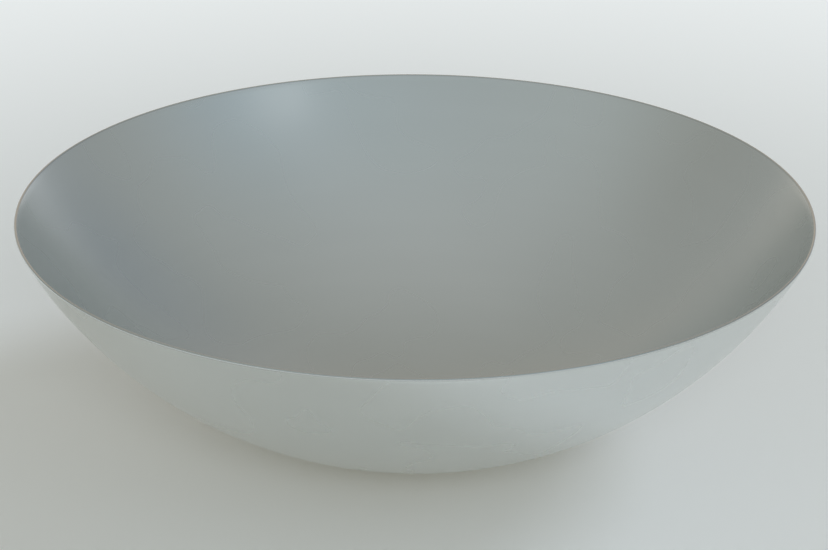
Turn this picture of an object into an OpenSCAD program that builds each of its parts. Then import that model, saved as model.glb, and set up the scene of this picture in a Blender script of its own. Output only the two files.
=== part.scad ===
// Evaporating dish, spun from one disc of thin sheet metal.
// Its wall is a zone of a sphere. A small knuckle turns the wall into the flat that the dish
// stands on, and the rim is the bare edge of the sheet, filed round.
// The origin is the middle of the flat's underside, and +Z points up out of the bowl.

/* [Rim] */
// Outside diameter at the rim, in mm
rim_d = 100; // [90:0.5:108]

/* [Wall] */
// Outside radius of the sphere that the wall follows, in mm
wall_r = 57.25; // [55:0.25:65]
// Thickness of the sheet, in mm
wall_t = 0.4; // [0.3:0.05:1]

/* [Base] */
// Diameter of the flat that the dish stands on, in mm
base_d = 16; // [12:1:30]
// Outside radius of the knuckle between the flat and the wall, in mm
knuckle_r = 6; // [3:1:12]

/* [Hidden] */
$fn = 180;

base_r = base_d / 2;
// The knuckle stands this much proud of the sphere, so that the two surfaces cross cleanly
knuckle_lap = 0.01;
// Distance from the knuckle's centre, in section, to the sphere's centre
centres_apart = wall_r - knuckle_r + knuckle_lap;
// Angles from straight down, about the sphere's centre, at which the wall starts and ends
wall_from = asin(base_r / centres_apart);
wall_to = asin(rim_d / 2 / wall_r);
sphere_z = knuckle_r + centres_apart * cos(wall_from);
// Radius of the middle of the sheet, and the diameter that its edge is filed to
middle_r = wall_r - wall_t / 2;
edge_d = 0.8 * wall_t;
// Enough to reach past anything else in the section
past = 2 * wall_r;

// A point this far from the sphere's centre, at an angle from straight down
function below_centre(angle, distance) = [0, sphere_z] + distance * [sin(angle), -cos(angle)];

// Section of a solid dish with no rim yet, whose surface is set in by this much
module solid_section(inset) {
    intersection() {
        translate([0, sphere_z])
            circle(r = wall_r - inset);
        translate([-past / 2, below_centre(wall_from, wall_r - inset).y])
            square(past);
    }
    translate([base_r, knuckle_r])
        circle(r = knuckle_r - inset);
    translate([-base_r, inset])
        square([2 * base_r, knuckle_r]);
}

// Half of the section of the sheet, from the axis out to the rim
module sheet_section() {
    intersection() {
        difference() {
            solid_section(0);
            solid_section(wall_t);
        }
        polygon([[0, sphere_z], below_centre(0, past), below_centre(wall_to, past)]);
    }
    translate(below_centre(wall_to, middle_r))
        circle(d = edge_d);
}

module dish() {
    color([0.60, 0.62, 0.61])
        rotate_extrude()
            sheet_section();
}

dish();
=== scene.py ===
"""Evaporating dish, spun from one disc of thin satin sheet metal, on a pale light table."""
import math

import bmesh
import bpy
from mathutils import Matrix, Vector


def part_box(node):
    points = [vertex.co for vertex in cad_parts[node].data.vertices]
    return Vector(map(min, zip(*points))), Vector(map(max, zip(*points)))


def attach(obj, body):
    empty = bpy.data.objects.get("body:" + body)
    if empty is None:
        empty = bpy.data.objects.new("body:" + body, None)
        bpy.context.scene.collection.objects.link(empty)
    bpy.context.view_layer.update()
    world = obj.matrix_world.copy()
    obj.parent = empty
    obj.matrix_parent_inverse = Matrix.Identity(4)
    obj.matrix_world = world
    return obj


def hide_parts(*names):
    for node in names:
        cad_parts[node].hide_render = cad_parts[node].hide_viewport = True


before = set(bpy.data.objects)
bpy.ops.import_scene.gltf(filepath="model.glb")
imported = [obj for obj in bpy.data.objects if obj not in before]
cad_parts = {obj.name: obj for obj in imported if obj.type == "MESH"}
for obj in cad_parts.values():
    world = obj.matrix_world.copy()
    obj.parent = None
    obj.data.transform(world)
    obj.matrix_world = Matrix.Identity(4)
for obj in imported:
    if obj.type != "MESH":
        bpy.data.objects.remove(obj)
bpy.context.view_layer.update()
MM = 0.001

# ---------------------------------------------------------------- the dish's own dimensions

RIM_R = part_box("dish")[1].x
WALL_R = 57.25 * MM
WALL_T = 0.4 * MM
BASE_R = 8 * MM
KNUCKLE_R = 6 * MM

# Angles are from straight down, about the centre of the sphere that the wall follows.
CENTRES_APART = WALL_R - KNUCKLE_R
WALL_FROM = math.asin(BASE_R / CENTRES_APART)
WALL_TO = math.asin(RIM_R / WALL_R)
SPHERE_Z = KNUCKLE_R + CENTRES_APART * math.cos(WALL_FROM)
MIDDLE_R = WALL_R - WALL_T / 2
RIM_Z = SPHERE_Z - WALL_R * math.cos(WALL_TO)

# How finely the section, and the turn about the axis, are divided, and how near two points are one.
FLOOR_STEPS = 4
KNUCKLE_STEPS = 6
WALL_STEPS = 64
EDGE_STEPS = 8
TURN_STEPS = 288
SAME_POINT = 0.001 * MM


# ---------------------------------------------------------------- the dish's finish

MICRON = 0.000001
STEEL_PALE = (0.82, 0.84, 0.83, 1)
STEEL_DEEP = (0.73, 0.75, 0.74, 1)
STEEL_EDGE = (0.66, 0.68, 0.67, 1)
STEEL_DULL = (0.55, 0.55, 0.54, 1)

# The cloudy sheen, the smudges, and the marks and ripples that the spinning leaves round the axis.
CLOUD_SIZE = 22 * MM
SMUDGE_SIZE = 11 * MM
SMUDGE_FROM = 0.45
SMUDGE_TO = 0.75
MARK_PITCH = 2 * MM
MARK_SHARE = 0.15
RIPPLE_PITCH = 6 * MM
RIPPLE_HEIGHT = 3 * MICRON
LUMPS_ROUND = 1.5

# The filed edge, and the ring that wears where the dish stands.
FILED_WIDTH = 0.1 * MM
WORN_FROM = 0.02 * MM
WORN_TO = 0.25 * MM
WORN_LEAST = 0.4
WORN_BY_MARKS = 0.5

# Roughness where nothing adds to it, and what each of these adds.
ROUGH_STEEL = 0.24
ROUGH_CLOUDS = 0.06
ROUGH_SMUDGES = 0.03
ROUGH_FILED = -0.04
ROUGH_WORN = 0.12


# ---------------------------------------------------------------- mesh

def bend(mesh, tip, centre, angle, steps):
    """Carries the section on from its tip along an arc about a centre, and returns the new tip."""
    turned = bmesh.ops.spin(
        mesh, geom=[tip], cent=centre, axis=(0, -1, 0), angle=angle, steps=steps, use_duplicate=False)
    return next(item for item in turned["geom_last"] if isinstance(item, bmesh.types.BMVert))


def straight(mesh, tip, step, steps):
    """Carries the section on from its tip in a straight line, and returns the new tip."""
    for _ in range(steps):
        tip = bmesh.ops.extrude_vert_indiv(mesh, verts=[tip])["verts"][0]
        bmesh.ops.translate(mesh, vec=step, verts=[tip])
    return tip


def draw_section(mesh):
    """Half of the sheet's section: out along the flat, up the outside, round the edge and back inside."""
    knuckle = Vector((BASE_R, 0, KNUCKLE_R))
    sphere = Vector((0, 0, SPHERE_Z))
    edge = sphere + MIDDLE_R * Vector((math.sin(WALL_TO), 0, -math.cos(WALL_TO)))
    outward = Vector((BASE_R / FLOOR_STEPS, 0, 0))
    tip = mesh.verts.new((0, 0, 0))
    tip = straight(mesh, tip, outward, FLOOR_STEPS)
    tip = bend(mesh, tip, knuckle, WALL_FROM, KNUCKLE_STEPS)
    tip = bend(mesh, tip, sphere, WALL_TO - WALL_FROM, WALL_STEPS)
    tip = bend(mesh, tip, edge, math.pi, EDGE_STEPS)
    tip = bend(mesh, tip, sphere, WALL_FROM - WALL_TO, WALL_STEPS)
    tip = bend(mesh, tip, knuckle, -WALL_FROM, KNUCKLE_STEPS)
    straight(mesh, tip, -outward, FLOOR_STEPS)


def make_dish():
    """The section turned once about the axis, as one closed shell."""
    mesh = bmesh.new()
    draw_section(mesh)
    bmesh.ops.spin(
        mesh, geom=mesh.verts[:] + mesh.edges[:], cent=(0, 0, 0), axis=(0, 0, 1),
        angle=2 * math.pi, steps=TURN_STEPS, use_merge=True)
    bmesh.ops.remove_doubles(mesh, verts=mesh.verts, dist=SAME_POINT)
    bmesh.ops.recalc_face_normals(mesh, faces=mesh.faces)
    for face in mesh.faces:
        face.smooth = True
    return make_object("spun_dish", mesh)


def make_object(name, mesh):
    """An object of this mesh, at the origin."""
    data = bpy.data.meshes.new(name)
    mesh.to_mesh(data)
    mesh.free()
    made = bpy.data.objects.new(name, data)
    bpy.context.scene.collection.objects.link(made)
    return made


# ---------------------------------------------------------------- shading

class Value:
    """A socket that varies over a surface. Arithmetic on it adds Math nodes."""

    def __init__(self, shading, socket):
        self.shading = shading
        self.socket = socket

    def maths(self, operation, *values):
        sockets = dict(zip(("Value", "Value_001"), values))
        return self.shading.add("ShaderNodeMath", {"operation": operation}, sockets)

    def __add__(self, other):
        return self.maths("ADD", self, other)

    def __sub__(self, other):
        return self.maths("SUBTRACT", self, other)

    def __mul__(self, other):
        return self.maths("MULTIPLY", self, other)

    def __truediv__(self, other):
        return self.maths("DIVIDE", self, other)

    def __radd__(self, other):
        return self.maths("ADD", other, self)

    def __rsub__(self, other):
        return self.maths("SUBTRACT", other, self)

    def __rmul__(self, other):
        return self.maths("MULTIPLY", other, self)


class Shading:
    """The node tree of a material or of the world."""

    def __init__(self, owner):
        owner.use_nodes = True
        self.tree = owner.node_tree

    def add(self, kind, settings, sockets, output=None):
        """Adds a node, sets it up, then gives each socket its value or its link, and returns one output."""
        node = self.tree.nodes.new(kind)
        for name, value in settings.items():
            setattr(node, name, value)
        for socket in node.inputs:
            value = sockets.get(socket.identifier)
            if isinstance(value, Value):
                self.tree.links.new(value.socket, socket)
            elif value is not None:
                socket.default_value = value
        chosen = next(found for found in node.outputs if output in (None, found.identifier))
        return Value(self, chosen)

    def feed(self, shader, socket, value):
        """Links a value to a socket of one of the nodes that the tree starts with."""
        self.tree.links.new(value.socket, self.tree.nodes[shader].inputs[socket])

    def vectors(self, operation, first, second, output="Vector"):
        sockets = {"Vector": first, "Vector_001": second}
        return self.add("ShaderNodeVectorMath", {"operation": operation}, sockets, output)

    def scaled(self, vector, factor):
        sockets = {"Vector": vector, "Scale": factor}
        return self.add("ShaderNodeVectorMath", {"operation": "SCALE"}, sockets)

    def noise(self, place, size, detail):
        """Soft noise between 0 and 1, whose lumps are about this size."""
        sockets = {"Vector": place, "Scale": 1 / size, "Detail": detail}
        return self.add("ShaderNodeTexNoise", {}, sockets)

    def step(self, value, low, high):
        """0 below low and 1 above high, with a smooth rise between them."""
        sockets = {"Value": value, "From Min": low, "From Max": high}
        return self.add("ShaderNodeMapRange", {"interpolation_type": "SMOOTHSTEP"}, sockets)

    def mix(self, factor, first, second):
        sockets = {"Factor_Float": factor, "A_Color": first, "B_Color": second}
        return self.add("ShaderNodeMix", {"data_type": "RGBA"}, sockets, "Result_Color")


def make_metal():
    """Satin steel: a cloudy sheen, faint marks and ripples, a filed edge, and wear where the dish stands."""
    material = bpy.data.materials.new("satin_steel")
    shading = Shading(material)
    shading.tree.nodes["Principled BSDF"].inputs["Metallic"].default_value = 1
    place = shading.add("ShaderNodeTexCoord", {}, {}, "Object")
    across = shading.vectors("MULTIPLY", place, (1, 1, 0))
    radius = shading.vectors("LENGTH", across, (0, 0, 0), "Value")
    height = shading.vectors("DOT_PRODUCT", place, (0, 0, 1), "Value")
    along = radius.maths("ARCTAN2", radius, SPHERE_Z - height) * WALL_R

    clouds = shading.noise(place, CLOUD_SIZE, 1)
    smudges = shading.step(shading.noise(place, SMUDGE_SIZE, 1), SMUDGE_FROM, SMUDGE_TO)
    marks = round_the_axis(shading, across, along / MARK_PITCH)
    ripples = round_the_axis(shading, across, along / RIPPLE_PITCH)
    rim = WALL_R * WALL_TO
    filed = shading.step(along, rim - FILED_WIDTH, rim)
    worn = 1 - shading.step(height, WORN_FROM, WORN_TO)

    steel = shading.mix((1 - MARK_SHARE) * clouds + MARK_SHARE * marks, STEEL_DEEP, STEEL_PALE)
    steel = shading.mix(filed, steel, STEEL_EDGE)
    steel = shading.mix(worn * (WORN_LEAST + WORN_BY_MARKS * marks), steel, STEEL_DULL)
    rough = ROUGH_STEEL + ROUGH_CLOUDS * clouds + ROUGH_SMUDGES * smudges
    rough = rough + ROUGH_FILED * filed + ROUGH_WORN * worn
    relief = RIPPLE_HEIGHT * ripples
    bump = shading.add("ShaderNodeBump", {}, {"Height": relief, "Distance": 1, "Strength": 1})
    shading.feed("Principled BSDF", "Base Color", steel)
    shading.feed("Principled BSDF", "Roughness", rough)
    shading.feed("Principled BSDF", "Normal", bump)
    return material


def round_the_axis(shading, across, steps):
    """Noise between 0 and 1 that runs a long way round the axis and changes with each step along the wall."""
    around = shading.scaled(shading.vectors("NORMALIZE", across, (0, 0, 0)), LUMPS_ROUND)
    level = shading.scaled((0, 0, 1), steps)
    return shading.noise(shading.vectors("ADD", around, level), 1, 0)


# ---------------------------------------------------------------- stage

# The camera looks along +Y and down, at a point just beside the dish's axis and below the rim.
# Its numbers come from a fit of the rim and the outline, rounded.
SENSOR_MM = 36
LENS_MM = 208.7
AIM_X = -0.1 * MM
AIM_BELOW_RIM = 7.87 * MM
CAMERA_DISTANCE = 603 * MM
CAMERA_ELEVATION = math.radians(23)
CAMERA_ROLL = math.radians(0.33)

# The light below, from the floor, the dome and the lamps, started from a least-squares fit of the light on
# the metal. It was then rounded and trimmed. So its numbers are fitted, and not plain studio settings.

# The floor is a pale square. It glows a little, more so away from the dish: the dimmer glow near the dish is
# a painted shadow round it.
FLOOR_HALF_WIDTH = 4
FLOOR_PALE = (0.8, 0.8, 0.8, 1)
FLOOR_ROUGHNESS = 0.8
GLOW_IN_PAINTED_SHADE = (0.085, 0.08, 0.06, 1)
GLOW_FAR = (0.36, 0.36, 0.35, 1)
PAINTED_SHADE_FADES_FROM = 60 * MM
PAINTED_SHADE_FADES_TO = 220 * MM

# Each glow on the dome has its azimuth, elevation and width in degrees, and its colour. A shade is negative.
DOME_LIGHT = (0.35, 0.37, 0.36)
DOME_GLOWS = [
    (275, 42, 60, (0.05, 0.08, 0.10)),
    (325, 25, 45, (0.04, 0.09, 0.14)),
    (205, 25, 50, (0.08, 0.10, 0.11)),
    (180, 20, 45, (-0.05, -0.065, -0.08)),
    (90, 12, 45, (0.26, 0.17, 0.11)),
    (90, 45, 60, (-0.07, -0.075, -0.085)),
    (50, 20, 35, (-0.09, -0.07, -0.03)),
    (55, 2, 16, (0.35, 0.37, 0.40)),
    (125, 2, 16, (0.20, 0.18, 0.15)),
    (0, 90, 60, (0.06, 0.055, 0.055)),
    (315, 36, 8, (0.55, 0.55, 0.55)),
]

# Each table lamp has its azimuth and elevation in degrees, and its colour.
TABLE_LAMP_WIDTH = math.radians(25)
TABLE_LAMPS = [
    (275, 25, (0.21, 0.22, 0.22)),
    (30, 38, (0.25, 0.28, 0.32)),
]


def make_camera():
    camera = bpy.data.objects.new("camera", bpy.data.cameras.new("camera"))
    bpy.context.scene.collection.objects.link(camera)
    camera.data.sensor_width = SENSOR_MM
    camera.data.lens = LENS_MM
    aim = Vector((AIM_X, 0, RIM_Z - AIM_BELOW_RIM))
    back = Vector((0, -math.cos(CAMERA_ELEVATION), math.sin(CAMERA_ELEVATION)))
    camera.location = aim + CAMERA_DISTANCE * back
    camera.rotation_mode = "QUATERNION"
    camera.rotation_quaternion = (-back).to_track_quat("-Z", "Y")
    camera.rotation_quaternion @= Matrix.Rotation(CAMERA_ROLL, 3, "Z").to_quaternion()
    bpy.context.scene.camera = camera


def make_floor():
    mesh = bmesh.new()
    bmesh.ops.create_grid(mesh, x_segments=1, y_segments=1, size=FLOOR_HALF_WIDTH)
    floor = make_object("floor", mesh)
    material = bpy.data.materials.new("floor")
    shading = Shading(material)
    paint = shading.tree.nodes["Principled BSDF"].inputs
    paint["Base Color"].default_value = FLOOR_PALE
    paint["Roughness"].default_value = FLOOR_ROUGHNESS
    paint["Emission Strength"].default_value = 1
    place = shading.add("ShaderNodeTexCoord", {}, {}, "Object")
    distance = shading.vectors("LENGTH", place, (0, 0, 0), "Value")
    # The glow is dimmer near the dish and brighter further out: a painted shadow on the floor round the dish.
    glow = shading.mix(shading.step(distance, PAINTED_SHADE_FADES_FROM, PAINTED_SHADE_FADES_TO), GLOW_IN_PAINTED_SHADE, GLOW_FAR)
    shading.feed("Principled BSDF", "Emission Color", glow)
    floor.data.materials.append(material)


def towards(azimuth, elevation):
    """The direction at this azimuth, from +X towards +Y, and this elevation above the floor."""
    azimuth = math.radians(azimuth)
    elevation = math.radians(elevation)
    level = math.cos(elevation)
    return Vector((level * math.cos(azimuth), level * math.sin(azimuth), math.sin(elevation)))


def soft_glow(shading, looking, azimuth, elevation, width, colour):
    """A round soft glow, or a shade, on the dome. Its width, in degrees, is where it is half as strong."""
    tightness = math.log(2) / (1 - math.cos(math.radians(width / 2)))
    near = shading.vectors("DOT_PRODUCT", looking, towards(azimuth, elevation), "Value")
    glow = near.maths("EXPONENT", (near - 1) * tightness)
    return shading.scaled(colour, glow)


def make_dome():
    world = bpy.data.worlds.new("studio")
    bpy.context.scene.world = world
    shading = Shading(world)
    looking = shading.add("ShaderNodeTexCoord", {}, {}, "Generated")
    light = DOME_LIGHT
    for glow in DOME_GLOWS:
        light = shading.vectors("ADD", light, soft_glow(shading, looking, *glow))
    shading.feed("Background", "Color", light)


def make_table_lamps():
    """Soft lamps that light the floor round the dish, but don't show as spots in the metal."""
    for azimuth, elevation, colour in TABLE_LAMPS:
        lamp = bpy.data.lights.new("table_lamp", "SUN")
        lamp.energy = math.pi
        lamp.color = colour
        lamp.angle = TABLE_LAMP_WIDTH
        placed = bpy.data.objects.new("table_lamp", lamp)
        bpy.context.scene.collection.objects.link(placed)
        placed.rotation_mode = "QUATERNION"
        placed.rotation_quaternion = towards(azimuth, elevation).to_track_quat("Z", "Y")
        placed.visible_glossy = False


bpy.context.scene.view_settings.view_transform = "Standard"
make_camera()
make_floor()
make_dome()
make_table_lamps()
dish = make_dish()
dish.data.materials.append(make_metal())
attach(dish, "root")
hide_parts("dish")
